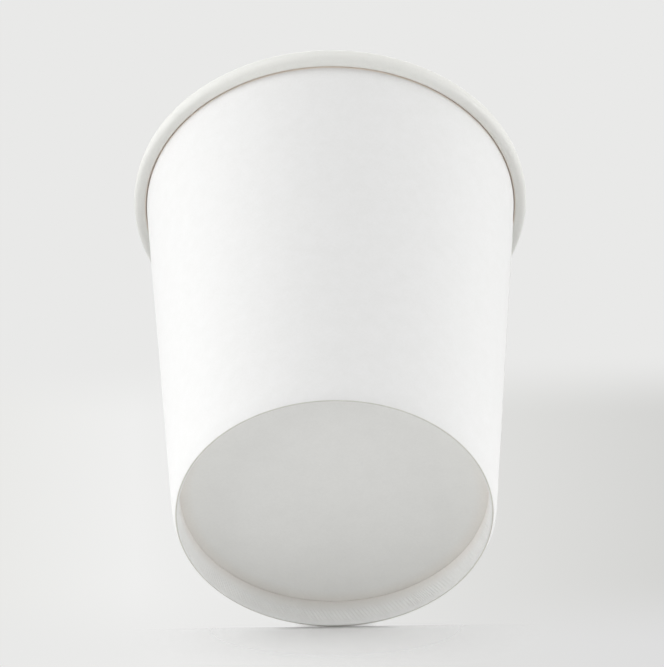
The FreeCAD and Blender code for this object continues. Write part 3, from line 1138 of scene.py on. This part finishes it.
    def table_material(self, name: str, start: float, end: float) -> bpy.types.Material:
        """Pale matt paper whose far part and back give way to what lies behind, for the camera alone.

        Args:
            name: The material's name.
            start: Distance from the contact where it begins to give way.
            end: Distance where nothing of it is seen.

        Returns:
            The material.
        """
        material, tree = new_material(name)
        place = add_node(tree, "ShaderNodeTexCoord").outputs["Object"]
        ends = {0: place, 1: (0.0, self.table_edge * MM, 0.0)}
        away = add_node(tree, "ShaderNodeVectorMath", ends, operation="DISTANCE").outputs["Value"]
        run = {"Value": away, "From Min": start * MM, "From Max": end * MM}
        near = add_node(tree, "ShaderNodeMapRange", run).outputs["Result"]
        bent = {0: near, 1: self.table_fade_power}
        fade = add_node(tree, "ShaderNodeMath", bent, operation="POWER").outputs[0]
        back = add_node(tree, "ShaderNodeNewGeometry").outputs["Backfacing"]
        unseen = add_node(tree, "ShaderNodeMath", {0: fade, 1: back}, operation="MAXIMUM").outputs[0]
        looked = add_node(tree, "ShaderNodeLightPath").outputs["Is Camera Ray"]
        both = {0: unseen, 1: looked}
        hidden = add_node(tree, "ShaderNodeMath", both, operation="MULTIPLY").outputs[0]
        # The painted contact shadow darkens the paper for every ray, so it also throws less light back.
        plain, point = linear(self.table_tone), radius_and_height(tree, place)
        end_in_paper(tree, self.table_painted_contact_shadow.over(tree, point, plain), hidden)
        return material

    def table(self) -> None:
        """Builds the paper that the tipped view rests on.

        It leaves the foot's far edge and runs down below z = 0. A point is the far edge of the
        foot plus v times the way down the paper plus u along X.
        """
        tip = math.radians(self.table_tip)
        down = np.array([0.0, -math.cos(tip), -math.sin(tip)])
        contact = np.array([0.0, self.table_edge, -self.table_drop])
        shares = np.array(self.table_shares)
        u = self.table_reach * np.concatenate([-shares[::-1], shares])
        v = self.table_reach * np.concatenate([[0.0], shares])
        across = u[None, :, None] * np.array([1.0, 0.0, 0.0])
        points = (contact + v[:, None, None] * down + across).reshape(-1, 3)
        quads = sheet_quads(len(v), len(u))
        paper = self.table_material("matt_table_paper", *self.table_fade)
        mesh_object("table", points, [quads], [np.zeros(len(quads))], [paper])

    def table_gap(self) -> None:
        """Builds the small sheet between the round foot and the straight edge of the table's paper.

        Its points are (x, root of foot radius^2 - x^2) and (x, edge), a little above z = 0. It is
        seen from below only, and neither shades nor lights anything.
        """
        x = np.linspace(-self.gap_half_width, self.gap_half_width, self.gap_columns)
        foot, edge = self.gap_edges
        height = np.full_like(x, self.gap_height)
        inner = np.stack([x, np.sqrt(foot**2 - x**2), height], axis=1)
        outer = np.stack([x, np.full_like(x, edge), height], axis=1)
        quads = sheet_quads(2, len(x))
        # Its paper has the same painted contact shadow as the table's.
        paper = self.table_material("matt_table_paper_in_the_gap", *self.gap_fade)
        points = np.vstack([inner, outer])
        gap = mesh_object("table_gap", points, [quads], [np.zeros(len(quads))], [paper])
        leave_light_alone(gap)

    def camera(self) -> None:
        """Adds a long lens that looks up at the foot from below and in front."""
        data = bpy.data.cameras.new("camera")
        data.sensor_fit = "HORIZONTAL"
        data.sensor_width = self.sensor
        data.lens = self.lens
        near, far = self.camera_clip
        data.clip_start, data.clip_end = near * MM, far * MM
        pitch, roll = math.radians(self.camera_pitch), math.radians(self.camera_roll)
        forward = Vector((0.0, math.cos(pitch), math.sin(pitch)))
        right = Vector((1.0, 0.0, 0.0))
        up = right.cross(forward)
        c, s = math.cos(roll), math.sin(roll)
        side, top = c * right + s * up, c * up - s * right
        turn = Matrix((side, top, -forward)).transposed().to_4x4()
        camera = bpy.data.objects.new("camera", data)
        camera.matrix_world = Matrix.Translation(Vector(self.camera_place) * MM) @ turn
        bpy.context.scene.collection.objects.link(camera)
        bpy.context.scene.camera = camera

    def build(self) -> None:
        """Builds the stage, the light and the camera."""
        bpy.context.scene.view_settings.view_transform = "Standard"
        self.world()
        self.floor()
        self.table()
        self.table_gap()
        for lamp in self.lamps:
            lamp.build()
        self.camera()


# ---------------------------------------------------------------- assembly


def dress(piece: bpy.types.Object, node: str) -> None:
    """Lets a piece ride on the body and stand for its CAD node, whose part it hides, and reports it.

    Args:
        piece: The finished piece.
        node: Name of the CAD node that it stands for.
    """
    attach(piece, BODY)
    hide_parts(node)
    LOG.info("%s: %d vertices, %d faces", piece.name, len(piece.data.vertices), len(piece.data.polygons))


def main() -> None:
    """Builds the pieces in order, then the studio."""
    logging.basicConfig(level=logging.INFO, format="%(name)s: %(message)s")
    outside, inside, edge, hem = (
        finish.material() for finish in (WALL_OUTSIDE, WALL_FOOD_SIDE, RAW_EDGE, HEM_FACE)
    )
    dress(Sidewall().build([outside, inside, edge, hem]), "sidewall")
    under, over = BOTTOM_UNDERSIDE.material(), BOTTOM_FOOD_SIDE.material()
    dress(Bottom().build([under, over, edge]), "bottom")
    Studio().build()
    bpy.context.view_layer.update()


if __name__ == "__main__":
    main()
